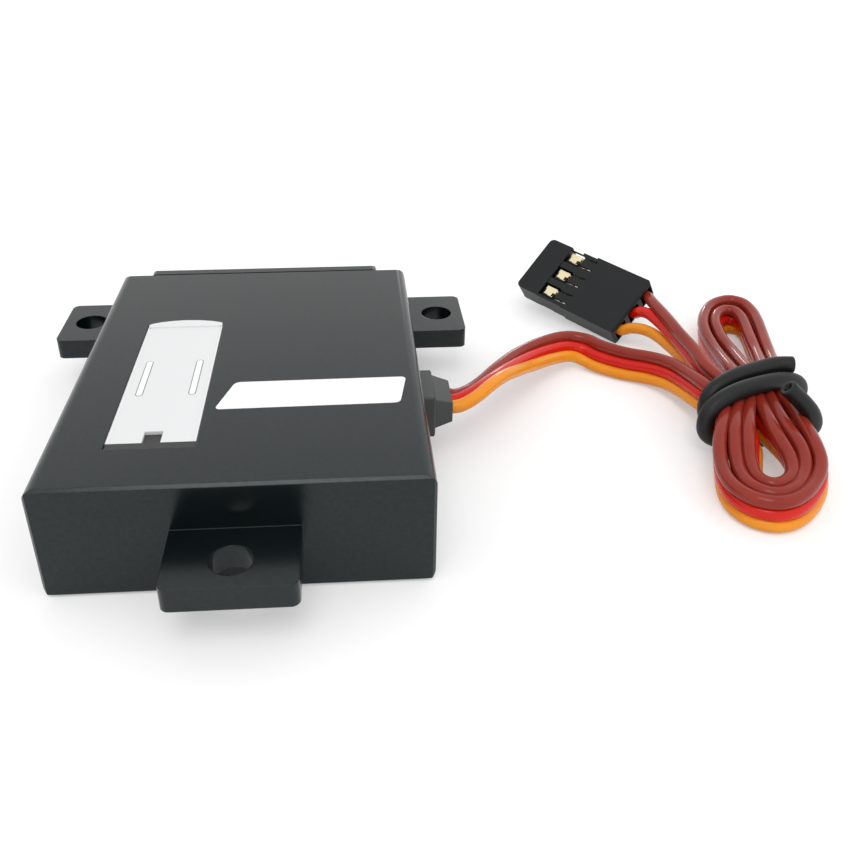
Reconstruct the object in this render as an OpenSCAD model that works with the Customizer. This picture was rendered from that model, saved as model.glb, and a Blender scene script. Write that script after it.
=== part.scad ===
// Thin wing servo: a milled case lying flat, a flat-sided motor, a four stage gear train
// on two axes, and a three wire lead folded into a tied hank with its plug.
// Millimetres. The origin is the centre of the case's bottom face, +Z is up and +Y points
// out along the output shaft.

/* [Case] */
// Width of the case across the motor and the electronics
body_w = 30; // [29:0.5:36]
// Length of the case along the output axis, without the rear cover
body_l = 38.5; // [38:0.5:46]
// Thickness of the case
body_h = 10; // [9.6:0.1:12]
// Radius of the long edges
edge_r = 1; // [0.4:0.1:1.4]
// Chamfer round the end faces
end_chamfer = 0.25; // [0.1:0.05:0.5]
// Roof over the electronics
roof_t = 1; // [0.8:0.1:1.6]
// Side walls
side_wall = 2.05; // [1.6:0.05:3]
// Front wall
front_wall = 2; // [1.5:0.1:3]
// Wall between the motor and the gears
mid_wall = 1.6; // [1.6:0.1:2.4]

/* [Mounting lugs] */
// Thickness of the lugs
lug_t = 2; // [1.5:0.1:3]
// Reach of the side lugs past the case
side_lug_reach = 6; // [5.2:0.1:8]
// Length of the side lugs along the case
side_lug_l = 8.4; // [6:0.1:12]
// Reach of the front lug past the case
front_lug_reach = 6.5; // [5.6:0.1:9]
// Width of the front lug
front_lug_w = 9.8; // [6:0.1:14]
// Corner radius of the lugs
lug_corner_r = 0.7; // [0.3:0.1:1.5]
// Screw holes in the lugs
lug_hole_d = 3.2; // [2:0.1:3.6]
// Side hole centres, out from the case
side_hole_out = 3.25; // [2.6:0.05:3.4]
// Front hole centre, out from the case
front_hole_out = 3.65; // [2.6:0.05:3.7]

/* [Covers] */
// Thickness of the bottom cover
cover_t = 1; // [0.8:0.1:1.4]
// Ledge that the bottom cover sits on
cover_ledge = 0.8; // [0.5:0.1:1]
// Thickness of the rear cover outside the case
rear_cover_t = 1.25; // [1:0.05:2]
// Width of the rear cover
rear_cover_w = 24; // [23:0.1:26]
// Depth of the rear cover's spigot in the gear bay
spigot_t = 0.95; // [0.8:0.05:1.5]
// Nominal size of the cover screws
screw_d = 1.2; // [1:0.1:1.6]

/* [Motor] */
// Round diameter of the motor can
motor_d = 12; // [11:0.1:12.4]
// Depth of the can's flats below the case faces
flat_inset = 0.1; // [0.05:0.05:0.4]
// Length of the can
motor_l = 20.2; // [16:0.1:20.6]
// Sheet thickness of the can
can_t = 0.5; // [0.3:0.05:0.7]
// Flange of the plastic end cap
end_cap_t = 0.8; // [0.5:0.1:1]
// Diameter of the motor shaft
motor_shaft_d = 1; // [0.8:0.05:1.2]

/* [Gears] */
// Gear module
gear_m = 0.25; // [0.22:0.01:0.26]
// Teeth of every pinion
pinion_teeth = 10; // [9:1:11]
// Teeth of every wheel
wheel_teeth = 30; // [26:1:32]
// Face width of the first three stages
face_w = 1.8; // [1.2:0.1:1.9]
// Face width of the output stage
out_face_w = 2.4; // [1.6:0.1:2.6]
// Clear space between layers of gears
layer_gap = 0.4; // [0.3:0.05:0.5]
// Diameter of the fixed idler pin
idler_pin_d = 1.2; // [0.8:0.05:1.3]

/* [Output] */
// Diameter of the output shaft in the rear bearing
output_d = 4; // [3.6:0.1:4.4]
// Diameter of the thin inner end of the output shaft
output_inner_d = 1.5; // [1:0.05:1.6]
// Outer diameter of the splined end
spline_d = 3.9; // [3.4:0.05:4.2]
// Teeth of the spline
spline_teeth = 15; // [12:1:25]
// Length of the splined end outside the rear cover
spline_l = 3.8; // [3:0.1:5]
// Tapped hole for the horn screw
horn_hole_d = 1.6; // [1.2:0.1:2]
// Depth of the horn screw hole
horn_hole_l = 5; // [3:0.1:6]
// Outer diameter of the rear bearing
rear_bearing_d = 7; // [6.4:0.1:7.4]
// Width of the rear bearing
rear_bearing_w = 2; // [1.6:0.1:2]
// Outer diameter of the front bearing
front_bearing_d = 4; // [3.6:0.1:4.6]
// Width of the front bearing
front_bearing_w = 1.2; // [1:0.05:1.2]

/* [Electronics] */
// Diameter of the position sensor
sensor_d = 7.2; // [6:0.1:7.4]
// Length of the position sensor
sensor_l = 3.5; // [3:0.1:4]
// Thickness of the circuit board
board_t = 0.6; // [0.4:0.1:1]
// Length of the circuit board
board_l = 16; // [12:0.1:16.4]
// Height of the board's posts on the bottom cover
post_h = 1.6; // [1:0.1:2]

/* [Lead] */
// Diameter of each wire
wire_d = 1; // [0.8:0.05:1]
// Centre distance of the three wires in the ribbon
wire_pitch = 1.15; // [1.1:0.05:1.2]
// Height of the lead's exit above the bottom face
exit_z = 5.05; // [4.95:0.05:5.4]
// Place of the lead's exit along the case
exit_y = -0.5; // [-0.8:0.1:-0.2]
// Thickness of the grommet's outer flange
grommet_flange_t = 1.4; // [0.8:0.05:1.6]
// Reach of the grommet past the case
grommet_reach = 3; // [2.4:0.1:3.4]

/* [Plug] */
// Length of the plug housing
plug_l = 14.5; // [13.5:0.1:15]
// Width of the plug housing
plug_w = 7.7; // [7.5:0.1:8]
// Thickness of the plug housing
plug_t = 2.6; // [2.5:0.05:2.8]
// Spacing of the plug's contacts
contact_pitch = 2.54; // [2.5:0.01:2.56]

/* [Hidden] */
$fn = 48;

// Clearances: a part that turns on a pin, a part seated in its place, and a free part
run_gap = 0.04;
seat_gap = 0.02;
free_gap = 0.1;
// Space between the motor and the side wall of its room
motor_side_gap = 0.25;

// Faces of the case
half_w = body_w / 2;
front_y = -body_l / 2;
rear_y = body_l / 2;
back_y = rear_y + rear_cover_t;
mid_z = body_h / 2;
pocket_x = half_w - side_wall;
pocket_y = front_y + front_wall;

// Layers of gears, set out from the rear cover
layer4 = rear_y - spigot_t - layer_gap - out_face_w;
layer3 = layer4 - layer_gap - face_w;
layer2 = layer3 - layer_gap - face_w;
layer1 = layer2 - layer_gap - face_w;
bay_y = layer1 - layer_gap;
wall_y = bay_y - mid_wall;

// Axes of the motor, the idler pin and the output
motor_x = -(pocket_x - motor_side_gap - motor_d / 2);
gear_distance = gear_m * (pinion_teeth + wheel_teeth) / 2;
idler_x = motor_x + gear_distance;
output_x = idler_x + gear_distance;

// Teeth: pressure angle, shift of the pinion's profile and thinning of each flank
pressure_angle = 25;
profile_shift = 0.25;
flank_thinning = 0.025;
tooth_addendum = 0.85;
tooth_dedendum = 1.25;
pinion_tip_r = gear_m * (pinion_teeth / 2 + profile_shift + tooth_addendum);
wheel_tip_r = gear_m * (wheel_teeth / 2 - profile_shift + tooth_addendum);

// Gear bay round the wheels
bay_clear = 0.18;
bay_h = 2 * (wheel_tip_r + bay_clear);
bay_x0 = motor_x - pinion_tip_r - 4 * bay_clear;
bay_x1 = output_x + wheel_tip_r + 2 * bay_clear;
bay_corner_r = 1;

// Motor, from the gear wall forward
motor_t = body_h - 2 * flat_inset;
motor_cavity_r = motor_d / 2 + free_gap;
motor_y1 = wall_y - seat_gap;
motor_y0 = motor_y1 - motor_l;
motor_end_r = 0.8;
bush_r = 1.4;
bush_l = 0.8;
can_notch_w = 1.45;
can_notch_l = 1.6;
can_slot_w = 0.4;
can_slot_l = 6;
can_slot_x = 2.2;
can_slot_y = 7.2;
can_slot_d = 0.12;
cap_plug_l = 1.2;
motor_screw_z = 2.9;
motor_screw_d = 1;
motor_screw_l = mid_wall + 0.9;
armature_r = 3.9;
armature_l = 9;
armature_y = motor_y1 - 12.4;
armature_hub_r = 1.2;
pole_neck_w = 1.6;
pole_head_t = 0.8;
winding_a = 57;
magnet_r0 = armature_r + 0.3;
magnet_r1 = motor_d / 2 - can_t - seat_gap;
magnet_h = 6;
commutator_r = 1.4;
commutator_l = 2.2;
commutator_y = motor_y0 + cap_plug_l + 0.3;
brush_t = 0.25;
terminal_x = 2.6;
terminal_w = 1.2;
terminal_t = 0.3;
terminal_l = 1.4;
motor_wire_d = 0.7;

// Cover screws with countersunk heads
screw_r = screw_d / 2;
screw_head_r = 1.1;
screw_head_t = 0.6;
screw_recess_l = 1.2;
screw_recess_w = 0.28;
screw_recess_d = 0.35;
boss_r = 1.4;
boss_inset = 1.1;
bottom_screw_l = 4;
rear_screw_l = 4;
rear_screw_x = rear_cover_w / 2 - 1.4;
rear_screw_z = 3.1;
bottom_screws_at = [[boss_inset - pocket_x, pocket_y + boss_inset],
  [pocket_x - boss_inset, pocket_y + boss_inset], [pocket_x - boss_inset, wall_y - boss_inset]];

// Bearings: race thickness as a share of the radial space, and the ball's play
race_share = 0.3;
ball_play = 0.03;
balls = 7;
rear_bearing_y = rear_y - spigot_t;
front_bearing_y = bay_y - front_bearing_w;
inner_pass_r = 1.2;

// Depth of the spline's grooves
spline_depth = 0.25;

// Position sensor against the gear wall
sensor_y = wall_y - sensor_l;
sensor_wall = 0.5;
sensor_wiper_t = 0.9;
sensor_pin_pitch = 2;
sensor_pin_w = 0.5;
sensor_pin_t = 0.3;
sensor_pin_l = 2.6;

// Circuit board on its posts
board_x0 = motor_x + motor_d / 2 + 1;
board_x1 = pocket_x - 0.5;
board_y1 = sensor_y - 0.8;
board_y0 = board_y1 - board_l;
board_z = cover_t + post_h;
board_top = board_z + board_t;
board_mid_x = (board_x0 + board_x1) / 2;
post_r = 0.8;
post_inset = 1.1;

// Grommet in the side wall
grommet_w = 5.3;
grommet_h = 3.8;
grommet_neck_w = 4;
grommet_neck_h = 3;
grommet_inner_t = 0.7;
grommet_inner_h = 2 * (exit_z - board_top - 0.2);
grommet_body_w = 4.8;
grommet_body_h = 3;
grommet_tip_w = 4.3;
grommet_tip_h = 2;
grommet_r = 0.6;
tip_x = half_w + grommet_reach;
inner_wire_x = pocket_x - grommet_inner_t;

// Wires stand on edge in the hank, one above another: orange, red, brown
wire_r = wire_d / 2;
level_z = 0.6;
brown = 1;
red = 0;
orange = -1;

// Hank: place and turn on the table, pitch of the strands, and radii of the loops
hank_x = 47.3;
hank_y = -0.35;
hank_turn = 20;
strand_pitch = 1.55;
low_loop_r = 1.5;
low_loop_s = 1.1;
low_loop_t = -10.7;
high_loop_r = 1.8;
high_loop_s = -1.1;
high_loop_t = 20.2;
high_outer_t = 21.4;
waist_low = -5.2;
waist_high = 3;
lead_join_t = 0.9;
tail_join_t = 1.9;
loop_steps = 12;

// Tie: two slanting wraps of soft cord round the waist
tie_d = 1.4;
tie_r = tie_d / 2;
tie_gap = 0.15;
tie_pitch = 2.35;
tie_slant = 0.6;
tie_start_t = 1.35;
tie_start_s = 3.6;
tie_start_rise = 0.25;
tie_end_s = 2.5;
tie_end_rise = 0.6;
tie_wrap_r = wire_r + tie_gap + tie_r;
waist_z = tie_r + tie_wrap_r + wire_pitch;
waist_lift = waist_z - level_z - wire_pitch;
lift_low = 6.5;
lift_high = 10.5;

// Free stretch: the red wire's points and the ribbon's twist there, 0 flat and 90 on edge
lead_points = [[tip_x, exit_y, exit_z], [tip_x + wire_r, exit_y, exit_z],
  [tip_x + wire_d, exit_y, exit_z], [20.3, 0.15, 5.05], [21.6, 1.75, 4.95],
  [22.9, 3.75, 4.7], [24.3, 6, 4.3], [27, 9.9, 3.45], [30.2, 13.2, 2.7], [32.9, 14.85, 2.2],
  [34.5, 14.55, 1.9], [35.7, 13.3, 1.75], [38, 11.6, 1.7], [40.3, 10.2, 1.85], [42, 8, 2.3],
  [42.9, 5.5, 2.8]];
lead_twist = [0, 0, 0, -8, -8, 0, 12, 24, 34, 44, 56, 64, 68, 70, 78, 86];

// Plug: place of its low front corner, and its turn, dip and roll on the table
plug_heading = -50;
plug_dip = 5;
plug_roll = 37;
plug_at = [30.25, 30.2, plug_l * sin(plug_dip)];
plug_r = 0.7;
plug_bevel = 0.25;
plug_step = 0.12;
plug_step_l = 7;
plug_cap_l = 3.3;
plug_window_l = 2.2;
plug_slot_l = 2;
plug_slot_w = 0.2;
plug_tongue_w = 1.2;
plug_window_w = 1.7;
plug_cavity_w = 1.9;
plug_cavity_h = 1.7;
plug_pin_hole = 0.8;
plug_notch_l = 1.7;
plug_notch_d = 0.25;
contact_w = 1.3;
contact_h = 1;
contact_l = 4.6;
contact_tab_l = 1.5;
crimp_r = 0.7;
crimp_end = plug_l - 3;

// Plug's outline from above, with a round-cornered nose, and from the side
plug_nose = [for (a = [270:-22.5:180])
  [plug_r + plug_r * cos(a), plug_step + plug_r + plug_r * sin(a)]];
plug_plan = concat(
  [[plug_l, plug_w - plug_bevel], [plug_l - plug_bevel, plug_w], [plug_step_l, plug_w],
    [plug_step_l, plug_w - plug_step]],
  [for (i = [0:len(plug_nose) - 1]) [plug_nose[i][0], plug_w - plug_nose[i][1]]],
  [for (i = [len(plug_nose) - 1:-1:0]) plug_nose[i]],
  [[plug_step_l, plug_step], [plug_step_l, 0], [plug_l - plug_bevel, 0], [plug_l, plug_bevel]]);
plug_side = [[0, plug_bevel], [plug_bevel, 0], [plug_l - plug_bevel, 0], [plug_l, plug_bevel],
  [plug_l, plug_t - plug_bevel], [plug_l - plug_bevel, plug_t], [plug_step_l, plug_t],
  [plug_step_l, plug_t - plug_step], [plug_bevel, plug_t - plug_step],
  [0, plug_t - plug_step - plug_bevel]];

// Points of the three tails between the plug's wire exits and the hank
brown_tail_points = [[43.9, 17.9, 4.95], [43.9, 14.2, 4.8], [44.2, 10.4, 4.5], [44.7, 6.8, 4.4]];
red_tail_points = [[43.1, 18.3, 3.5], [43.7, 15.4, 3.4], [44.1, 11, 3.25], [44.7, 7.4, 3.25]];
orange_tail_points = [[41.7, 17.9, 2.1], [43, 16.8, 1.95], [43.9, 14.6, 1.8], [44.2, 11.6, 1.8],
  [44.8, 7.8, 2]];

// Vector and curve helpers
function unit(v) = v / norm(v);
function smooth(x) = x <= 0 ? 0 : x >= 1 ? 1 : x * x * (3 - 2 * x);
function involute(a) = tan(a) * 180 / PI - a;

// Outline of a gear with its first tooth on the +X side
function half_tooth(r, base_r, pitch_half) =
  pitch_half + involute(pressure_angle) - involute(acos(min(1, base_r / r)));
function gear_outline(teeth, shift) =
  let (
    pitch_r = gear_m * teeth / 2,
    base_r = pitch_r * cos(pressure_angle),
    tip_r = pitch_r + gear_m * (shift + tooth_addendum),
    root_r = pitch_r + gear_m * (shift - tooth_dedendum),
    thinning = flank_thinning / pitch_r * 180 / PI,
    pitch_half = 90 / teeth + 2 * shift * tan(pressure_angle) / teeth * 180 / PI - thinning,
    low_r = max(base_r, root_r),
    radii = [root_r, for (i = [0:3]) low_r + (tip_r - low_r) * i / 3],
    halves = [for (r = radii) half_tooth(max(r, low_r), base_r, pitch_half)]
  )
  [for (k = [0:teeth - 1], i = [0:2 * len(radii) - 1])
    let (
      j = i < len(radii) ? i : 2 * len(radii) - 1 - i,
      a = 360 / teeth * k + (i < len(radii) ? -halves[j] : halves[j])
    )
    radii[j] * [cos(a), sin(a)]];

// Sweep of a round tube along a list of points
function tangent(path, i) =
  let (last = len(path) - 1)
  i == 0 ? unit(path[1] - path[0])
  : i == last ? unit(path[last] - path[last - 1])
  : unit(unit(path[i + 1] - path[i]) + unit(path[i] - path[i - 1]));
function tube_ring(centre, along, side, r, sides) =
  let (a = unit(cross(along, side)), b = cross(a, along))
  [for (k = [0:sides - 1]) centre + r * (cos(360 * k / sides) * a + sin(360 * k / sides) * b)];

// Hank: a point at s across and t along, and the path of one wire at a level
function on_table(s, t, z) = [hank_x + s * cos(hank_turn) + t * sin(hank_turn),
  hank_y - s * sin(hank_turn) + t * cos(hank_turn), z];
function lift(t) = waist_lift * (1 - smooth(max(waist_low - t, 0) / lift_low))
  * (1 - smooth(max(t - waist_high, 0) / lift_high));
function wire_z(level, t) = level_z + (level + 1) * wire_pitch + lift(t);
function strand(k) = k * strand_pitch;
function run(s0, t0, s1, t1, n) =
  [for (i = [0:n - 1]) [s0 + (s1 - s0) * smooth(i / n), t0 + (t1 - t0) * i / n]];
function turn(s, t, r, a0, a1) =
  [for (i = [0:loop_steps - 1])
    let (a = a0 + (a1 - a0) * i / loop_steps)
    [s + r * cos(a), t + r * sin(a)]];
low_mid_r = low_loop_r + strand_pitch;
low_outer_r = low_loop_r + 2 * strand_pitch;
high_outer_r = high_loop_r + strand_pitch;
hank_flat = concat(
  run(strand(-2.5), lead_join_t, strand(-2.5), waist_low, 4),
  run(strand(-2.5), waist_low, low_loop_s - low_outer_r, low_loop_t, 3),
  turn(low_loop_s, low_loop_t, low_outer_r, 180, 360),
  run(low_loop_s + low_outer_r, low_loop_t, strand(2.5), waist_low, 3),
  run(strand(2.5), waist_low, strand(2.5), waist_high, 3),
  run(strand(2.5), waist_high, high_loop_s + high_outer_r, high_loop_t, 6),
  run(high_loop_s + high_outer_r, high_loop_t, high_loop_s + high_outer_r, high_outer_t, 1),
  turn(high_loop_s, high_outer_t, high_outer_r, 0, 180),
  run(high_loop_s - high_outer_r, high_outer_t, high_loop_s - high_outer_r, high_loop_t, 1),
  run(high_loop_s - high_outer_r, high_loop_t, strand(-0.5), waist_high, 6),
  run(strand(-0.5), waist_high, strand(-0.5), waist_low, 3),
  run(strand(-0.5), waist_low, low_loop_s - low_loop_r, low_loop_t, 3),
  turn(low_loop_s, low_loop_t, low_loop_r, 180, 360),
  run(low_loop_s + low_loop_r, low_loop_t, strand(0.5), waist_low, 3),
  run(strand(0.5), waist_low, strand(0.5), waist_high, 3),
  run(strand(0.5), waist_high, high_loop_s - high_loop_r, high_loop_t, 6),
  turn(high_loop_s, high_loop_t, high_loop_r, 180, 0),
  run(high_loop_s + high_loop_r, high_loop_t, strand(1.5), waist_high, 6),
  run(strand(1.5), waist_high, strand(1.5), waist_low, 3),
  run(strand(1.5), waist_low, low_loop_s + low_mid_r, low_loop_t, 3),
  turn(low_loop_s, low_loop_t, low_mid_r, 360, 180),
  run(low_loop_s - low_mid_r, low_loop_t, strand(-1.5), waist_low, 3),
  run(strand(-1.5), waist_low, strand(-1.5), tail_join_t, 4),
  [[strand(-1.5), tail_join_t]]);
function hank_path(level) = [for (p = hank_flat) on_table(p[0], p[1], wire_z(level, p[1]))];

// Ribbon of the free stretch: a wire beside or above the red one
function ribbon_side(path, i) =
  let (along = tangent(path, i), left = unit([-along[1], along[0], 0]))
  cos(lead_twist[i]) * left + sin(lead_twist[i]) * [0, 0, 1];
function lead_path(level) = concat(
  [for (i = [0:len(lead_points) - 1])
    lead_points[i] + level * wire_pitch * ribbon_side(lead_points, i)],
  [for (d = [wire_d, 0]) on_table(strand(-2.5), lead_join_t + d, wire_z(level, lead_join_t))]);

// Plug: a point at u along, v across and n through the housing
plug_axes = let (
    cy = cos(plug_dip), sy = sin(plug_dip), cr = cos(plug_roll), sr = sin(plug_roll),
    ch = cos(plug_heading), sh = sin(plug_heading)
  )
  [[ch * cy, sh * cy, -sy],
   [ch * sy * sr - sh * cr, sh * sy * sr + ch * cr, cy * sr],
   [ch * sy * cr + sh * sr, sh * sy * cr - ch * sr, cy * cr]];
function plug_point(u, v, n) = plug_at + u * plug_axes[0] + v * plug_axes[1] + n * plug_axes[2];
function contact_v(level) = plug_w / 2 + level * contact_pitch;
function tail_path(level, points) = concat(
  [for (u = [crimp_end, plug_l, plug_l + wire_d]) plug_point(u, contact_v(level), plug_t / 2)],
  points,
  [for (d = [wire_d, 0]) on_table(strand(-1.5), tail_join_t + d, wire_z(level, tail_join_t))]);

// Tie: corners of the wrap in turn, from the top left round the waist
function tie_point(corner, a) =
  let (
    q = corner % 4,
    s = (q < 2 ? -1 : 1) * strand(2.5) + tie_wrap_r * cos(a),
    z = waist_z + (q == 0 || q == 3 ? 1 : -1) * wire_pitch + tie_wrap_r * sin(a),
    turns = (a - 90) / 360
  )
  on_table(s, tie_t(s, turns), z);
function tie_t(s, turns) = tie_start_t - tie_pitch * turns + tie_slant * s;
tie_corners = 8;
tie_top_z = waist_z + wire_pitch + tie_wrap_r;
tie_path = concat(
  [on_table(tie_start_s, tie_t(tie_start_s, -0.12), tie_top_z + tie_start_rise)],
  [for (c = [0:tie_corners - 1], a = [0:30:c < tie_corners - 1 ? 90 : 60])
    tie_point(c, 90 + 90 * c + a)],
  [on_table(tie_end_s, tie_t(tie_end_s, tie_corners / 4), tie_top_z + tie_end_rise)]);

// Least gap of a tube to itself, from each point to each stretch further along
function to_stretch(p, a, b) =
  let (ab = b - a, x = min(1, max(0, (p - a) * ab / (ab * ab))))
  norm(p - a - x * ab);
function least_gap(path, d, skip) =
  min([for (i = [0:len(path) - 1 - skip], j = [i + skip:1:len(path) - 2])
    to_stretch(path[i], path[j], path[j + 1])]) - d;
echo(str("least gap of the hank's loops: ", least_gap(hank_path(red), wire_d, 6), " mm"));
echo(str("least gap of the tie's wraps: ", least_gap(tie_path, tie_d, 9), " mm"));

// Shapes used by several pieces
module round_rect(w, h, r) {
  square([w - 2 * r, h], center = true);
  square([w, h - 2 * r], center = true);
  for (x = [-1, 1], y = [-1, 1])
    translate([x * (w / 2 - r), y * (h / 2 - r)]) circle(r);
}

module chamfer_rect(w, h, c)
  polygon([[c - w / 2, -h / 2], [w / 2 - c, -h / 2], [w / 2, c - h / 2], [w / 2, h / 2 - c],
    [w / 2 - c, h / 2], [c - w / 2, h / 2], [-w / 2, h / 2 - c], [-w / 2, c - h / 2]]);

// Profile in X and Z carried along Y, profile in Y and Z carried along X
module prism_y(y0, y1)
  translate([0, y1, 0]) rotate([90, 0, 0]) linear_extrude(height = y1 - y0) children();
module prism_x(x0, x1)
  translate([x0, 0, 0]) rotate([90, 0, 90]) linear_extrude(height = x1 - x0) children();
module rod_y(x, z, r, y0, y1)
  translate([x, y1, z]) rotate([90, 0, 0]) cylinder(r = r, h = y1 - y0);
module ring_y(x, z, r0, r1, y0, y1)
  difference() {
    rod_y(x, z, r1, y0, y1);
    rod_y(x, z, r0, y0 - 1, y1 + 1);
  }

// Flat-sided motor outline, smaller by an inset
module motor_outline(inset)
  translate([motor_x, mid_z]) intersection() {
    circle(motor_d / 2 - inset);
    square([motor_d, motor_t - 2 * inset], center = true);
  }

module gear_y(x, teeth, shift, first_tooth, y0, y1)
  prism_y(y0, y1) translate([x, mid_z]) rotate(first_tooth) polygon(gear_outline(teeth, shift));

module pinion(x, first_tooth, y0, y1) gear_y(x, pinion_teeth, profile_shift, first_tooth, y0, y1);
module wheel(x, gap_at, y0, y1)
  gear_y(x, wheel_teeth, -profile_shift, gap_at + 180 / wheel_teeth, y0, y1);

module tube(path, d, sides, side) {
  n = len(path);
  end = (n - 1) * sides;
  points = [for (i = [0:n - 1]) each tube_ring(path[i], tangent(path, i), side, d / 2, sides)];
  start_cap = [for (k = [1:sides - 2]) [0, k + 1, k]];
  end_cap = [for (k = [1:sides - 2]) [end, end + k, end + k + 1]];
  walls = [for (i = [0:n - 2], k = [0:sides - 1])
    let (a = i * sides + k, b = i * sides + (k + 1) % sides)
    each [[a, b, b + sides], [a, b + sides, a + sides]]];
  polyhedron(points = points, faces = concat(start_cap, end_cap, walls));
}

module wire(path) tube(path, wire_d, 8, [0, 0, 1]);
module hank_wire(path) tube(path, wire_d, 6, [0, 0, 1]);

// Countersunk screw and its hole, pointing along +Z from the head's face
module screw(d, l)
  difference() {
    union() {
      cylinder(r1 = screw_head_r, r2 = d / 2, h = screw_head_t);
      cylinder(d = d, h = l);
    }
    // Cross recess
    for (a = [0, 90]) rotate(a)
      translate([-screw_recess_l / 2, -screw_recess_w / 2, -1])
        cube([screw_recess_l, screw_recess_w, 1 + screw_recess_d]);
  }
module screw_hole(d, l, gap) {
  translate([0, 0, -1]) cylinder(r = screw_head_r + gap, h = 1);
  cylinder(r1 = screw_head_r + gap, r2 = d / 2 + gap, h = screw_head_t);
  cylinder(r = d / 2 + gap, h = l);
}
module at_bottom_screws() for (p = bottom_screws_at) translate([p[0], p[1], 0]) children();
module at_rear_screws()
  for (x = [-1, 1], z = [-1, 1])
    translate([x * rear_screw_x, back_y, mid_z + z * rear_screw_z]) rotate([90, 0, 0]) children();
module at_motor_screws()
  for (z = [-1, 1]) translate([motor_x, bay_y, mid_z + z * motor_screw_z]) rotate([90, 0, 0]) children();

// Case: long edges rounded, end faces chamfered all round
module case_blank()
  intersection() {
    prism_y(front_y, rear_y) translate([0, mid_z]) round_rect(body_w, body_h, edge_r);
    prism_x(-body_w, body_w) translate([0, mid_z]) chamfer_rect(body_l, body_h, end_chamfer);
    translate([0, 0, -1]) linear_extrude(height = body_h + 2) chamfer_rect(body_w, body_l, end_chamfer);
  }

module lug(x0, x1, y0, y1)
  translate([(x0 + x1) / 2, (y0 + y1) / 2, mid_z - lug_t / 2]) linear_extrude(height = lug_t)
    round_rect(x1 - x0, y1 - y0, lug_corner_r);

module lugs() {
  root = lug_corner_r + 0.1;
  lug(half_w - root, half_w + side_lug_reach, back_y - side_lug_l, back_y);
  lug(-half_w - side_lug_reach, root - half_w, back_y - side_lug_l, back_y);
  lug(-front_lug_w / 2, front_lug_w / 2, front_y - front_lug_reach, front_y + root);
}

module lug_holes() {
  for (x = [-1, 1])
    translate([x * (half_w + side_hole_out), back_y - side_lug_l / 2, 0])
      cylinder(d = lug_hole_d, h = body_h);
  translate([0, front_y - front_hole_out, 0]) cylinder(d = lug_hole_d, h = body_h);
}

module bay_outline(inset)
  translate([(bay_x0 + bay_x1) / 2, mid_z])
    round_rect(bay_x1 - bay_x0 - 2 * inset, bay_h - 2 * inset, bay_corner_r);

module cover_outline(inset)
  translate([0, (pocket_y + wall_y) / 2])
    round_rect(2 * (pocket_x + cover_ledge - inset), wall_y - pocket_y + 2 * (cover_ledge - inset), 1);

module motor_cavity()
  rod_y(motor_x, mid_z, motor_cavity_r, motor_y0 - end_cap_t - free_gap, wall_y);

module main_case()
  color("dimgray") difference() {
    union() {
      case_blank();
      lugs();
    }
    lug_holes();
    // Room for the motor and the electronics, open below
    difference() {
      translate([-pocket_x, pocket_y, cover_t])
        cube([2 * pocket_x, wall_y - pocket_y, body_h - roof_t - cover_t]);
      at_bottom_screws() cylinder(r = boss_r, h = body_h);
    }
    motor_cavity();
    translate([0, 0, -1]) linear_extrude(height = cover_t + 1) cover_outline(0);
    at_bottom_screws() cylinder(r = screw_r + seat_gap, h = bottom_screw_l + 0.5);
    // Gear bay, open to the rear
    prism_y(bay_y, rear_y + 1) bay_outline(0);
    rod_y(motor_x, mid_z, bush_r + seat_gap, wall_y - 1, bay_y + 1);
    rod_y(idler_x, mid_z, idler_pin_d / 2 + seat_gap, bay_y - 1.2, bay_y + 1);
    rod_y(output_x, mid_z, front_bearing_d / 2 + seat_gap, front_bearing_y, bay_y + 1);
    rod_y(output_x, mid_z, inner_pass_r, wall_y - 1, bay_y);
    at_motor_screws() screw_hole(motor_screw_d, motor_screw_l, seat_gap);
    at_rear_screws() cylinder(r = screw_r + seat_gap, h = rear_cover_t + rear_screw_l + 0.5);
    // Hole for the grommet's neck
    prism_x(pocket_x - 1, half_w + 1) translate([exit_y, exit_z])
      round_rect(grommet_neck_w, grommet_neck_h, grommet_r);
  }

module bottom_cover()
  color("dimgray") difference() {
    union() {
      linear_extrude(height = cover_t) cover_outline(seat_gap);
      for (x = [board_x0 + post_inset, board_x1 - post_inset],
           y = [board_y0 + post_inset, board_y1 - post_inset])
        translate([x, y, 0]) cylinder(r = post_r, h = board_z);
    }
    motor_cavity();
    at_bottom_screws() screw_hole(screw_d, cover_t + 1, seat_gap);
  }

module bottom_screws()
  color("silver") at_bottom_screws() screw(screw_d, bottom_screw_l);

module rear_cover()
  color("dimgray") difference() {
    union() {
      intersection() {
        prism_y(rear_y, back_y) translate([0, mid_z]) round_rect(rear_cover_w, body_h, edge_r / 2);
        prism_x(-body_w, body_w) translate([0, mid_z]) chamfer_rect(2 * back_y, body_h, end_chamfer);
        linear_extrude(height = body_h) chamfer_rect(rear_cover_w, 2 * back_y, end_chamfer);
      }
      prism_y(rear_y - spigot_t, rear_y) bay_outline(seat_gap);
    }
    rod_y(output_x, mid_z, rear_bearing_d / 2 + seat_gap, rear_y - spigot_t - 1,
      rear_bearing_y + rear_bearing_w);
    rod_y(output_x, mid_z, output_d / 2 + 0.5, rear_y, back_y + 1);
    rod_y(idler_x, mid_z, idler_pin_d / 2 + seat_gap, rear_y - spigot_t - 1, rear_y + 0.3);
    at_rear_screws() screw_hole(screw_d, rear_cover_t + 1, seat_gap);
  }

module rear_screws()
  color("silver") at_rear_screws() screw(screw_d, rear_cover_t + rear_screw_l);

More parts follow.
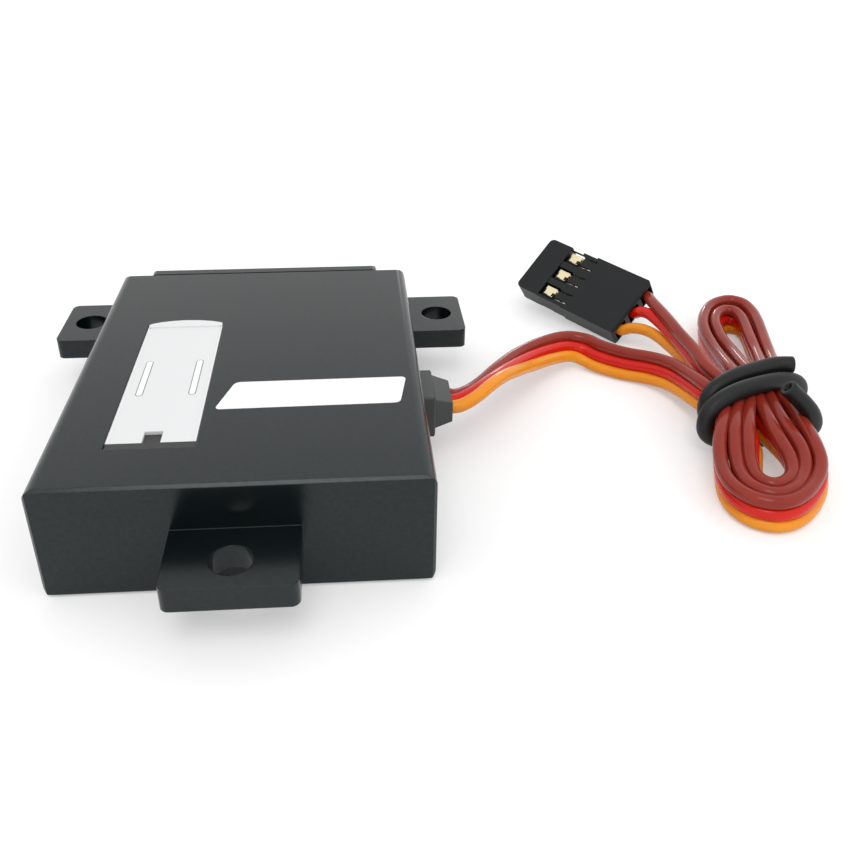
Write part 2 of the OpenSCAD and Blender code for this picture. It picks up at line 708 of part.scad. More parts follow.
// Motor
module can_blank(inset, y0, y1)
  intersection() {
    prism_y(y0, y1) motor_outline(inset);
    translate([motor_x, y1, mid_z]) rotate([90, 0, 0]) rotate_extrude()
      difference() {
        square([motor_d / 2 - inset, y1 - y0]);
        translate([motor_d / 2 - inset - motor_end_r, 0]) difference() {
          square(motor_end_r);
          translate([0, motor_end_r]) circle(motor_end_r);
        }
      }
  }

module motor_can()
  color("whitesmoke") difference() {
    can_blank(0, motor_y0, motor_y1);
    can_blank(can_t, motor_y0 - 1, motor_y1 - can_t);
    rod_y(motor_x, mid_z, bush_r + seat_gap, motor_y1 - 1, motor_y1 + 1);
    at_motor_screws() cylinder(r = motor_screw_d / 2 + seat_gap, h = motor_screw_l + 1);
    // Keyway at the open end and two shallow pressed slots, on both flats
    translate([motor_x - can_notch_w / 2, motor_y0 - 1, 0])
      cube([can_notch_w, can_notch_l + 1, body_h]);
    for (x = [-1, 1], m = [0, 1])
      translate([motor_x + x * can_slot_x, motor_y0 + can_slot_y + can_slot_l / 2, mid_z])
        mirror([0, 0, m]) translate([0, 0, motor_t / 2 - can_slot_d]) linear_extrude(height = 1)
          round_rect(can_slot_w, can_slot_l, can_slot_w * 0.4, $fn = 24);
  }

module motor_end_cap()
  color("black") difference() {
    union() {
      prism_y(motor_y0 - end_cap_t, motor_y0) motor_outline(0);
      prism_y(motor_y0, motor_y0 + cap_plug_l) motor_outline(can_t + seat_gap);
      // Keys in the can's keyways, a little below the flats
      intersection() {
        prism_y(motor_y0, motor_y0 + can_notch_l - free_gap) motor_outline(can_t / 2);
        difference() {
          translate([motor_x - can_notch_w / 2 + seat_gap, motor_y0, 0])
            cube([can_notch_w - 2 * seat_gap, can_notch_l, body_h]);
          translate([motor_x - motor_d / 2, motor_y0, mid_z - motor_t / 2 + 2 * can_t])
            cube([motor_d, can_notch_l, motor_t - 4 * can_t]);
        }
      }
    }
    rod_y(motor_x, mid_z, motor_shaft_d / 2 + run_gap, motor_y0 - end_cap_t / 2, motor_y0 + 3);
    for (x = [-1, 1])
      translate([motor_x + x * terminal_x - terminal_w / 2 - seat_gap, motor_y0 - 2,
        mid_z - terminal_t / 2 - seat_gap])
        cube([terminal_w + 2 * seat_gap, 4, terminal_t + 2 * seat_gap]);
  }

module motor_magnets()
  color("dimgray") prism_y(armature_y, armature_y + armature_l) translate([motor_x, mid_z])
    intersection() {
      difference() {
        circle(magnet_r1);
        circle(magnet_r0);
      }
      square([motor_d, magnet_h], center = true);
    }

module motor_brushes()
  color("goldenrod") for (x = [-1, 1])
    translate([motor_x + x * (commutator_r + run_gap + brush_t / 2) - brush_t / 2,
      motor_y0 + cap_plug_l, mid_z - terminal_w / 2])
      cube([brush_t, commutator_l, terminal_w]);

module motor_terminals()
  color("gold") for (x = [-1, 1])
    translate([motor_x + x * terminal_x - terminal_w / 2, motor_y0 - end_cap_t - terminal_l,
      mid_z - terminal_t / 2])
      cube([terminal_w, terminal_l + end_cap_t + cap_plug_l, terminal_t]);

module motor_bush()
  color("goldenrod")
    ring_y(motor_x, mid_z, motor_shaft_d / 2 + run_gap, bush_r, motor_y1 - can_t, motor_y1 + bush_l);

module motor_screws()
  color("silver") at_motor_screws() screw(motor_screw_d, motor_screw_l);

module motor_shaft()
  color("silver")
    rod_y(motor_x, mid_z, motor_shaft_d / 2, motor_y0 - end_cap_t / 2 + free_gap, layer1 + face_w);

module armature_pole(r)
  intersection() {
    circle(r);
    polygon([[0, 0], [2 * r, 1.7 * r], [2 * r, -1.7 * r]]);
  }

module motor_armature()
  color("slategray") prism_y(armature_y, armature_y + armature_l) translate([motor_x, mid_z])
    difference() {
      union() {
        circle(armature_hub_r);
        for (k = [0:2]) rotate(120 * k) {
          translate([0, -pole_neck_w / 2]) square([armature_r - pole_head_t / 2, pole_neck_w]);
          difference() {
            armature_pole(armature_r);
            circle(armature_r - pole_head_t);
          }
        }
      }
      circle(motor_shaft_d / 2 + seat_gap);
    }

module motor_windings()
  color("peru") prism_y(armature_y - 0.4, armature_y + armature_l + 0.4)
    translate([motor_x, mid_z]) for (k = [0:2], s = [-1, 1]) rotate(120 * k)
      intersection() {
        difference() {
          circle(armature_r - pole_head_t - seat_gap);
          circle(armature_hub_r + seat_gap);
          square([2 * armature_r, pole_neck_w + 2 * seat_gap], center = true);
        }
        polygon([[0, 0], [armature_r, 0], armature_r * [cos(winding_a), s * sin(winding_a)]]);
      }

module motor_commutator()
  color("goldenrod") ring_y(motor_x, mid_z, motor_shaft_d / 2 + seat_gap, commutator_r,
    commutator_y, commutator_y + commutator_l);

module motor_pinion()
  color("goldenrod") difference() {
    pinion(motor_x, 0, layer1, layer1 + face_w);
    rod_y(motor_x, mid_z, motor_shaft_d / 2 + seat_gap, layer1 - 1, layer2);
  }

// Gear train: each compound gear is a wheel with the pinion of the next stage
module idler_pin()
  color("silver") rod_y(idler_x, mid_z, idler_pin_d / 2, bay_y - 1.1, rear_y + 0.2);

module compound_gear(x, gap_at, tooth_at, bore_r, wheel_y, pinion_y1)
  difference() {
    union() {
      wheel(x, gap_at, wheel_y, wheel_y + face_w);
      pinion(x, tooth_at, wheel_y + face_w / 2, pinion_y1);
    }
    rod_y(x, mid_z, bore_r + run_gap, wheel_y - 1, pinion_y1 + 1);
  }

module first_gear()
  color("goldenrod")
    compound_gear(idler_x, 180, 0, idler_pin_d / 2, layer1, layer2 + face_w);

module second_gear()
  color("goldenrod")
    compound_gear(output_x, 180, 180, output_inner_d / 2, layer2, layer3 + face_w);

module third_gear()
  color("silver")
    compound_gear(idler_x, 0, 0, idler_pin_d / 2, layer3, layer4 + out_face_w);

module output_gear()
  color("silver") difference() {
    wheel(output_x, 180, layer4, layer4 + out_face_w);
    rod_y(output_x, mid_z, output_d / 2 + seat_gap, layer4 - 1, rear_y);
  }

module output_shaft()
  color("silver") difference() {
    union() {
      rod_y(output_x, mid_z, output_inner_d / 2, sensor_y + sensor_wall + 0.4, layer4);
      rod_y(output_x, mid_z, output_d / 2, layer4 - layer_gap / 2, back_y + 0.2);
      prism_y(back_y + 0.2, back_y + 0.2 + spline_l) translate([output_x, mid_z]) spline_outline();
    }
    rod_y(output_x, mid_z, horn_hole_d / 2, back_y + 0.2 + spline_l - horn_hole_l,
      back_y + spline_l + 1);
  }

module spline_outline()
  polygon([for (k = [0:spline_teeth - 1], p = [[-0.3, 0], [-0.1, 1], [0.1, 1], [0.3, 0]])
    let (a = 360 / spline_teeth * (k + p[0]), r = spline_d / 2 - spline_depth * (1 - p[1]))
    r * [cos(a), sin(a)]]);

// Ball bearings with grooved races
module race(x, r0, r1, ball_path_r, groove_r, y0, w)
  translate([x, y0 + w, mid_z]) rotate([90, 0, 0]) rotate_extrude() difference() {
    translate([r0, 0]) square([r1 - r0, w]);
    translate([ball_path_r, w / 2]) circle(groove_r);
  }

module bearing_outer(x, bore_r, outer_r, y0, w) {
  space = outer_r - bore_r;
  race(x, outer_r - race_share * space, outer_r, (bore_r + outer_r) / 2,
    space * 0.28 + ball_play, y0, w);
}
module bearing_inner(x, bore_r, outer_r, y0, w) {
  space = outer_r - bore_r;
  race(x, bore_r + seat_gap, bore_r + race_share * space, (bore_r + outer_r) / 2,
    space * 0.28 + ball_play, y0, w);
}
module bearing_balls(x, bore_r, outer_r, y0, w)
  for (k = [0:balls - 1])
    translate([x, y0 + w / 2, mid_z]) rotate([0, 360 / balls * k, 0])
      translate([(bore_r + outer_r) / 2, 0, 0]) sphere(r = (outer_r - bore_r) * 0.28);

module rear_bearing_outer()
  color("lightgray")
    bearing_outer(output_x, output_d / 2, rear_bearing_d / 2, rear_bearing_y, rear_bearing_w);
module rear_bearing_balls()
  color("gainsboro")
    bearing_balls(output_x, output_d / 2, rear_bearing_d / 2, rear_bearing_y, rear_bearing_w);
module rear_bearing_inner()
  color("lightgray")
    bearing_inner(output_x, output_d / 2, rear_bearing_d / 2, rear_bearing_y, rear_bearing_w);
module front_bearing_outer()
  color("lightgray")
    bearing_outer(output_x, output_inner_d / 2, front_bearing_d / 2, front_bearing_y, front_bearing_w);
module front_bearing_balls()
  color("gainsboro")
    bearing_balls(output_x, output_inner_d / 2, front_bearing_d / 2, front_bearing_y, front_bearing_w);
module front_bearing_inner()
  color("lightgray")
    bearing_inner(output_x, output_inner_d / 2, front_bearing_d / 2, front_bearing_y, front_bearing_w);

// Position sensor on the inner end of the output shaft
module sensor_body()
  color("black") difference() {
    rod_y(output_x, mid_z, sensor_d / 2, sensor_y, wall_y);
    rod_y(output_x, mid_z, sensor_d / 2 - sensor_wall, sensor_y + sensor_wall, wall_y - sensor_wall);
    rod_y(output_x, mid_z, output_inner_d / 2 + free_gap, wall_y - 1, wall_y + 1);
  }

module sensor_wiper()
  color("goldenrod") difference() {
    union() {
      rod_y(output_x, mid_z, output_inner_d / 2 + 0.7, sensor_y + sensor_wall + 0.3,
        sensor_y + sensor_wall + 0.3 + sensor_wiper_t);
      translate([output_x - 0.5, sensor_y + sensor_wall + 0.3, mid_z])
        cube([1, sensor_wiper_t / 3, sensor_d / 2 - sensor_wall - 0.3]);
    }
    rod_y(output_x, mid_z, output_inner_d / 2 + seat_gap, sensor_y, wall_y);
  }

module sensor_pins()
  color("gold") for (k = [-1:1])
    translate([output_x + k * sensor_pin_pitch - sensor_pin_w / 2, sensor_y - sensor_pin_l, board_top])
      cube([sensor_pin_w, sensor_pin_l, sensor_pin_t]);

// Electronics
module circuit_board()
  color("darkgreen") translate([board_x0, board_y0, board_z])
    cube([board_x1 - board_x0, board_l, board_t]);

module control_chip()
  color("black") translate([board_mid_x - 3.4, board_y0 + 8.2, board_top]) {
    translate([0, 0, 0.1]) cube([4, 4, 0.8]);
    for (x = [0:7]) translate([0.15 + x * 0.5, -0.4, 0]) cube([0.2, 4.8, 0.3]);
  }

module driver_chips()
  color("black") for (x = [-3.6, 0.9])
    translate([board_mid_x + x, board_y0 + 3, board_top]) {
      translate([0, 0, 0.1]) cube([2.9, 2.4, 0.9]);
      for (k = [0:2]) translate([0.3 + k * 0.95, -0.6, 0]) cube([0.4, 3.6, 0.3]);
    }

module board_capacitors()
  color("tan") {
    for (k = [0:3])
      translate([board_x0 + 0.8 + k * 1.8, board_y0 + 6.7, board_top]) cube([1.2, 0.7, 0.6]);
    translate([board_x1 - 2.6, board_y0 + 6.2, board_top]) cube([1.6, 3, 1.5]);
  }

// Wires inside the case
module motor_wires()
  color("firebrick") for (k = [0, 1]) {
    x = motor_x + (2 * k - 1) * terminal_x;
    y = motor_y0 - end_cap_t - terminal_l - motor_wire_d / 2;
    over = mid_z + (1 - k) * 1.1;
    pad = [board_x0 + 2.6 - 1.6 * k, board_y0 + 1.6, board_top + motor_wire_d / 2];
    tube([[x - motor_wire_d / 2, y, mid_z], [x + motor_wire_d / 2, y, mid_z], [x + 1.6, y, over],
      [board_x0 - 1.2, y, over], [pad[0] - 0.4, y + 0.4, pad[2] + 0.9], pad - [0, 1, 0], pad],
      motor_wire_d, 8, [0, 0, 1]);
  }

module input_wires()
  color("chocolate") for (k = [-1:1]) {
    y = exit_y + k * wire_pitch;
    tube([[inner_wire_x, y, exit_z], [inner_wire_x - wire_d, y, exit_z],
      [inner_wire_x - 2 * wire_d, y, (exit_z + board_top + wire_r) / 2],
      [inner_wire_x - 3 * wire_d, y, board_top + wire_r],
      [inner_wire_x - 4 * wire_d, y, board_top + wire_r]], wire_d, 8, [0, 1, 0]);
  }

// Rubber grommet: inner flange, neck in the wall, outer flange and a tapered body
module cable_grommet()
  color("black") {
    prism_x(pocket_x - grommet_inner_t, pocket_x) grommet_profile(grommet_w, grommet_inner_h);
    prism_x(pocket_x, half_w)
      grommet_profile(grommet_neck_w - 2 * seat_gap, grommet_neck_h - 2 * seat_gap);
    prism_x(half_w, half_w + grommet_flange_t) grommet_profile(grommet_w, grommet_h);
    hull() {
      prism_x(half_w + grommet_flange_t, half_w + grommet_flange_t + 0.1)
        grommet_profile(grommet_body_w, grommet_body_h);
      prism_x(tip_x - 0.1, tip_x) grommet_profile(grommet_tip_w, grommet_tip_h);
    }
  }
module grommet_profile(w, h) translate([exit_y, exit_z]) round_rect(w, h, grommet_r, $fn = 32);

// Lead, hank and tails, one tube for each wire
module brown_lead() color("sienna") wire(lead_path(brown));
module red_lead() color("red") wire(lead_path(red));
module orange_lead() color("orange") wire(lead_path(orange));
module brown_hank() color("sienna") hank_wire(hank_path(brown));
module red_hank() color("red") hank_wire(hank_path(red));
module orange_hank() color("orange") hank_wire(hank_path(orange));
module brown_tail() color("sienna") wire(tail_path(brown, brown_tail_points));
module red_tail() color("red") wire(tail_path(red, red_tail_points));
module orange_tail() color("orange") wire(tail_path(orange, orange_tail_points));
module cable_tie() color("black") tube(tie_path, tie_d, 8, on_table(0, 1, 0) - on_table(0, 0, 0));

// Plug: housing with windows over the contacts, cavities for the wires, and the contacts
module place_plug()
  translate(plug_at) rotate([plug_roll, plug_dip, plug_heading]) children();

module plug_housing()
  color("black") place_plug() difference() {
    intersection() {
      linear_extrude(height = plug_t) polygon(plug_plan);
      translate([0, plug_w + 1, 0]) rotate([90, 0, 0]) linear_extrude(height = plug_w + 2)
        polygon(plug_side);
    }
    for (level = [-1:1]) translate([0, contact_v(level), plug_t / 2]) {
      translate([plug_cap_l, -plug_cavity_w / 2, -plug_cavity_h / 2])
        cube([plug_l, plug_cavity_w, plug_cavity_h]);
      translate([plug_cap_l, -plug_window_w / 2, 0]) cube([plug_window_l, plug_window_w, plug_t]);
      translate([-1, -plug_pin_hole / 2, -plug_pin_hole / 2])
        cube([plug_cap_l + 2, plug_pin_hole, plug_pin_hole]);
      // Slots on both sides of a contact's latch tongue
      for (v = [-1, 1])
        translate([plug_cap_l + plug_window_l - 0.1, v * plug_tongue_w / 2 - plug_slot_w / 2, 0])
          cube([plug_slot_l, plug_slot_w, plug_t]);
    }
    for (v = [plug_step + plug_notch_d - 1, plug_w - plug_step - plug_notch_d])
      translate([plug_cap_l, v, -1]) cube([plug_notch_l, 1, plug_t + 2]);
  }

module plug_contacts()
  color("gold") place_plug() for (level = [-1:1]) translate([0, contact_v(level), plug_t / 2]) {
    translate([plug_cap_l + 0.3, -contact_w / 2, -contact_h / 2 - 0.2])
      cube([contact_l, contact_w, contact_h]);
    translate([plug_cap_l + 0.3, -contact_w / 2, 0])
      cube([contact_tab_l, contact_w, plug_t / 2 - plug_step - 0.25]);
    translate([plug_cap_l + contact_l, 0, 0]) rotate([0, 90, 0])
      cylinder(r = crimp_r, h = crimp_end - plug_cap_l - contact_l);
  }

main_case();
bottom_cover();
bottom_screws();
rear_cover();
rear_screws();
motor_can();
motor_end_cap();
motor_magnets();
motor_brushes();
motor_terminals();
motor_bush();
motor_screws();
motor_shaft();
motor_armature();
motor_windings();
motor_commutator();
motor_pinion();
idler_pin();
first_gear();
second_gear();
third_gear();
output_gear();
output_shaft();
rear_bearing_outer();
rear_bearing_balls();
rear_bearing_inner();
front_bearing_outer();
front_bearing_balls();
front_bearing_inner();
sensor_body();
sensor_wiper();
sensor_pins();
circuit_board();
control_chip();
driver_chips();
board_capacitors();
motor_wires();
input_wires();
cable_grommet();
brown_lead();
red_lead();
orange_lead();
brown_hank();
red_hank();
orange_hank();
brown_tail();
red_tail();
orange_tail();
cable_tie();
plug_housing();
plug_contacts();
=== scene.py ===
import math
import bpy
import bmesh
from mathutils import Matrix, Vector


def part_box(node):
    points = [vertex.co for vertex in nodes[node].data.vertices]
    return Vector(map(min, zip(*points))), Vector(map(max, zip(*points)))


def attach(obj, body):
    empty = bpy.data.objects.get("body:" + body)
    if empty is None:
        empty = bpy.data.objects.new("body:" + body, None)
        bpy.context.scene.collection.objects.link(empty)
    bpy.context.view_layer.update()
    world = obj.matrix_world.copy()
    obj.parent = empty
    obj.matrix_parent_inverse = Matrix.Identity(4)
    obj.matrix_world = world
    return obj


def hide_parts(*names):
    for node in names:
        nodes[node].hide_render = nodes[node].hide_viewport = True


# Slim wing servo on a white table: black milled case, white motor can in its window,
# and a three wire lead folded into a hank with a rubber tie and a plug.

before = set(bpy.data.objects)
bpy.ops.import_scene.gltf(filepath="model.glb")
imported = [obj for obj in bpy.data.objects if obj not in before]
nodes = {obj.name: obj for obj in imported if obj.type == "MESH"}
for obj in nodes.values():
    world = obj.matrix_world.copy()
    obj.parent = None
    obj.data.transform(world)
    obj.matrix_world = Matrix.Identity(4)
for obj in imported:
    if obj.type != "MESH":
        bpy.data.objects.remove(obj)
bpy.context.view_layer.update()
mm = 0.001
scene = bpy.context.scene
scene.view_settings.view_transform = "Standard"
print("frame loaded:", len(nodes), "nodes")


# Camera at the photograph's angle

cameraSet = {
    "place": (8.849, -75.235, 50.254),  # mm
    "right": (0.99755, -0.06985, 0.00383),
    "up": (0.03137, 0.49559, 0.86799),
    "back": (-0.06252, -0.86574, 0.49657),
    "lens": 39.93, "sensor": 36,
    "shift": (0.01765, -0.0529),
    "clip": (0.002, 20),  # m
}


def makeCamera(c):
    data = bpy.data.cameras.new("photoCamera")
    cam = bpy.data.objects.new("photoCamera", data)
    scene.collection.objects.link(cam)
    turn = Matrix([c["right"], c["up"], c["back"]]).transposed()
    cam.matrix_world = Matrix.Translation(Vector(c["place"]) * mm) @ turn.to_4x4()
    data.sensor_width = c["sensor"]
    data.lens = c["lens"]
    data.shift_x, data.shift_y = c["shift"]
    data.clip_start, data.clip_end = c["clip"]
    scene.camera = cam


makeCamera(cameraSet)
print("camera placed")


# Small helpers for shader nodes


def newFinish(name):
    mat = bpy.data.materials.new(name)
    mat.use_nodes = True
    tree = mat.node_tree
    return mat, tree, tree.nodes["Principled BSDF"]


def addNode(tree, kind, **sockets):
    node = tree.nodes.new(kind)
    for key, value in sockets.items():
        node.inputs[key].default_value = value
    return node


def objectCoords(tree, stretch=(1, 1, 1)):
    coords = tree.nodes.new("ShaderNodeTexCoord")
    place = tree.nodes.new("ShaderNodeMapping")
    place.inputs["Scale"].default_value = stretch
    tree.links.new(coords.outputs["Object"], place.inputs["Vector"])
    return place.outputs["Vector"]


def noise(tree, coords, scale, detail, roughness):
    node = addNode(tree, "ShaderNodeTexNoise", Scale=scale, Detail=detail, Roughness=roughness)
    tree.links.new(coords, node.inputs["Vector"])
    return node.outputs["Fac"]


def ramp(tree, value, stops):
    node = tree.nodes.new("ShaderNodeValToRGB")
    for element, (at, colour) in zip(node.color_ramp.elements, stops):
        element.position = at
        element.color = (*colour, 1)
    tree.links.new(value, node.inputs["Fac"])
    return node.outputs["Color"]


noiseSpan = (0.3, 0.7)  # the part of a noise's range that is used
edgeSamples = 4


def span(tree, value, low, high):
    node = addNode(tree, "ShaderNodeMapRange")
    node.inputs["From Min"].default_value, node.inputs["From Max"].default_value = noiseSpan
    node.inputs["To Min"].default_value = low
    node.inputs["To Max"].default_value = high
    tree.links.new(value, node.inputs["Value"])
    return node.outputs["Result"]


def bump(tree, shader, height, strength, distance, edge=0.0):
    # Fine relief, over edges that shade as if rounded by edge metres
    node = addNode(tree, "ShaderNodeBump", Strength=strength, Distance=distance)
    tree.links.new(height, node.inputs["Height"])
    tree.links.new(node.outputs["Normal"], shader.inputs["Normal"])
    if edge:
        soft = addNode(tree, "ShaderNodeBevel", Radius=edge)
        soft.samples = edgeSamples
        tree.links.new(soft.outputs["Normal"], node.inputs["Normal"])


# Finishes: a base colour and roughness in soft patches, under a fine grain

grainSet = {"patchDetail": 4.0, "grainDetail": 3.0, "noiseRoughness": 0.6, "bumpStrength": 0.6}


def grainFinish(name, dark, light, rough, grainScale, bumpHeight, metal=0.0, stretch=(1, 1, 1),
                specular=0.5, shineGrain=0.0, patchScale=90, edge=0.0, tint=(1, 1, 1)):
    mat, tree, shader = newFinish(name)
    coords = objectCoords(tree, stretch)
    patches = noise(tree, coords, patchScale, grainSet["patchDetail"], grainSet["noiseRoughness"])
    grain = noise(tree, coords, grainScale, grainSet["grainDetail"], grainSet["noiseRoughness"])
    colour = ramp(tree, patches, zip(noiseSpan, (dark, light)))
    tree.links.new(colour, shader.inputs["Base Color"])
    tree.links.new(span(tree, patches, *rough), shader.inputs["Roughness"])
    bump(tree, shader, grain, grainSet["bumpStrength"], bumpHeight, edge)
    shader.inputs["Metallic"].default_value = metal
    shader.inputs["Specular IOR Level"].default_value = specular
    shader.inputs["Specular Tint"].default_value = (*tint, 1)
    if shineGrain:
        shine = span(tree, grain, specular - shineGrain, specular + shineGrain)
        tree.links.new(shine, shader.inputs["Specular IOR Level"])
    return mat


finishSet = {
    "caseBlack": dict(dark=(0.0015, 0.004, 0.0046), light=(0.0025, 0.0052, 0.0058), rough=(0.2, 0.27),
                      grainScale=2600, bumpHeight=0.00001, edge=0.00012, specular=0.42, shineGrain=0.045,
                      tint=(0.92, 0.99, 1)),
    "canWhite": dict(dark=(0.72, 0.725, 0.73), light=(0.75, 0.755, 0.76), rough=(0.4, 0.5),
                     grainScale=2600, bumpHeight=0.00001, stretch=(1, 0.08, 1)),
    "capBlack": dict(dark=(0.02, 0.02, 0.022), light=(0.035, 0.035, 0.037), rough=(0.42, 0.55),
                     grainScale=2400, bumpHeight=0.00002),
    "plugBlack": dict(dark=(0.006, 0.007, 0.008), light=(0.01, 0.011, 0.012), rough=(0.34, 0.44),
                      grainScale=2000, bumpHeight=0.000012, edge=0.00008, specular=0.28),
    "rubberBlack": dict(dark=(0.006, 0.0065, 0.007), light=(0.011, 0.0115, 0.012), rough=(0.42, 0.55),
                        grainScale=1500, bumpHeight=0.00003, specular=0.32),
    "grommetBlack": dict(dark=(0.024, 0.026, 0.026), light=(0.034, 0.036, 0.036), rough=(0.34, 0.44),
                         grainScale=1800, bumpHeight=0.000015, edge=0.00008),
    "steel": dict(dark=(0.5, 0.5, 0.51), light=(0.66, 0.66, 0.67), rough=(0.24, 0.36),
                  grainScale=1800, bumpHeight=0.00001, metal=1.0, stretch=(1, 0.1, 1)),
    "blackSteel": dict(dark=(0.05, 0.05, 0.055), light=(0.09, 0.09, 0.095), rough=(0.3, 0.42),
                       grainScale=1800, bumpHeight=0.00001, metal=0.8),
    "brass": dict(dark=(0.68, 0.47, 0.18), light=(0.82, 0.62, 0.28), rough=(0.24, 0.36),
                  grainScale=1800, bumpHeight=0.00001, metal=1.0),
    "gold": dict(dark=(0.8, 0.69, 0.42), light=(0.94, 0.86, 0.62), rough=(0.3, 0.42),
                 grainScale=1500, bumpHeight=0.00001, metal=1.0),
    "copper": dict(dark=(0.55, 0.2, 0.08), light=(0.78, 0.36, 0.16), rough=(0.25, 0.4),
                   grainScale=2600, bumpHeight=0.00004, metal=1.0, stretch=(1, 6, 1)),
    "magnetGrey": dict(dark=(0.05, 0.05, 0.055), light=(0.1, 0.1, 0.105), rough=(0.5, 0.65),
                       grainScale=2200, bumpHeight=0.00003, metal=0.4),
    "boardGreen": dict(dark=(0.012, 0.09, 0.035), light=(0.02, 0.14, 0.055), rough=(0.28, 0.4),
                       grainScale=900, bumpHeight=0.00002),
    "ceramic": dict(dark=(0.4, 0.28, 0.16), light=(0.55, 0.42, 0.27), rough=(0.4, 0.55),
                    grainScale=1600, bumpHeight=0.00002),
    "innerRed": dict(dark=(0.42, 0.03, 0.02), light=(0.56, 0.05, 0.03), rough=(0.3, 0.42),
                     grainScale=1500, bumpHeight=0.00002),
    # white for print, for the slot fills and for the painted highlight strips along the can's edges
    "printAndHighlightWhite": dict(dark=(0.86, 0.86, 0.86), light=(0.9, 0.9, 0.9), rough=(0.35, 0.45),
                       grainScale=3000, bumpHeight=0.00001),
    # grey for the painted shade round the can's slots
    "slotShadeGrey": dict(dark=(0.14, 0.14, 0.14), light=(0.18, 0.18, 0.18), rough=(0.45, 0.55),
                     grainScale=3000, bumpHeight=0.00001),
}
finishes = {name: grainFinish(name, **values) for name, values in finishSet.items()}


# Soft insulation, with a slight ripple
wireSkin = {
    "patchScale": 260, "patchDetail": 3.0, "patchRoughness": 0.55, "patchSpan": (0.28, 0.72),
    "rippleScale": 900, "rippleDetail": 2.0, "rippleRoughness": 0.5, "rippleStrength": 0.15,
    "rippleHeight": 0.00003, "rough": (0.14, 0.22), "specular": 0.27,
    "softWeight": 0.04, "softDepth": 0.0004,
}


def wireFinish(name, dark, light, deep):
    k = wireSkin
    mat, tree, shader = newFinish(name)
    coords = objectCoords(tree)
    patches = noise(tree, coords, k["patchScale"], k["patchDetail"], k["patchRoughness"])
    ripple = noise(tree, coords, k["rippleScale"], k["rippleDetail"], k["rippleRoughness"])
    colour = ramp(tree, patches, zip(k["patchSpan"], (dark, light)))
    tree.links.new(colour, shader.inputs["Base Color"])
    tree.links.new(span(tree, patches, *k["rough"]), shader.inputs["Roughness"])
    bump(tree, shader, ripple, k["rippleStrength"], k["rippleHeight"])
    shader.inputs["Specular IOR Level"].default_value = k["specular"]
    shader.inputs["Subsurface Weight"].default_value = k["softWeight"]
    shader.inputs["Subsurface Radius"].default_value = deep
    shader.inputs["Subsurface Scale"].default_value = k["softDepth"]
    return mat


wireColours = {
    "brown": dict(dark=(0.24, 0.022, 0.012), light=(0.29, 0.031, 0.018), deep=(1, 0.4, 0.3)),
    "red": dict(dark=(0.58, 0.01, 0.004), light=(0.68, 0.016, 0.008), deep=(1, 0.3, 0.2)),
    "orange": dict(dark=(0.8, 0.26, 0.012), light=(0.86, 0.32, 0.02), deep=(1, 0.6, 0.2)),
}
wireFinishes = {c: wireFinish(c + "Wire", **v) for c, v in wireColours.items()}
print("finishes mixed:", len(finishes) + len(wireFinishes))


# Mesh helpers


def loft(work, rows, shadeSmooth=False):
    # Walls between rows of points in mm, closed at both ends
    rows = [[work.verts.new(p * mm) for p in row] for row in rows]
    for low, high in zip(rows, rows[1:]):
        for k in range(len(low)):
            n = (k + 1) % len(low)
            work.faces.new((low[k], low[n], high[n], high[k])).smooth = shadeSmooth
    work.faces.new(rows[0][::-1])
    work.faces.new(rows[-1])


def meshPiece(name, work, finish):
    bmesh.ops.recalc_face_normals(work, faces=work.faces)
    mesh = bpy.data.meshes.new(name)
    work.to_mesh(mesh)
    work.free()
    mesh.materials.append(finishes[finish])
    piece = bpy.data.objects.new(name, mesh)
    scene.collection.objects.link(piece)
    return piece


# Lead, hank and tails: points along each route, in mm, fitted to the photograph

wireSet = {
    "diameter": 1.26, "pitch": 1.15, "tableGap": 0.65, "splineSteps": 4, "bevelSteps": 5,
    "tip": (18, -0.5, 5.05),
    # the middle wire's points, and the turn of the ribbon in degrees at the tip and at each point
    "lead": [(18.5, -0.48, 5.05), (19.2, -0.1, 5.05), (20.1, 0.65, 5.05), (21.1, 1.75, 5),
        (22.6, 3.75, 4.8), (24.2, 6, 4.4), (27, 9.9, 3.45), (30.2, 13.2, 2.7), (32.9, 14.85, 2.2),
        (34.5, 14.55, 1.9), (35.7, 13.3, 1.75), (38, 11.6, 1.7), (40.3, 10.2, 1.85), (41.8, 8, 2.3),
        (42.6, 5.2, 2.75), (43.2, 2.2, 3.15)],
    "twist": [0, -4, -12, -20, -27, -26, -12, 14, 32, 44, 56, 64, 68, 70, 78, 86, 90],
    "tails": {
        "brown": [(43.11, 19.58, 5.05), (43.48, 15.93, 5.05), (43.86, 11.84, 4.9), (44.33, 8.34, 4.7),
            (44.53, 5.49, 4.5)],
        "red": [(41.89, 19.29, 4), (42.45, 18.5, 4.15), (43.01, 17.24, 4), (43.7, 14.94, 3.7),
            (44.15, 12.12, 3.55), (44.5, 8.56, 3.4), (44.85, 5.84, 3.25)],
        "orange": [(40.68, 18.71, 2.25), (41.57, 17.91, 2.55), (42.46, 17.05, 2.55), (43.22, 15.7, 2.4),
            (43.85, 14.02, 2.2), (44.35, 12.09, 2.1), (44.78, 10.01, 2), (44.95, 6.4, 2.05)],
    },
}
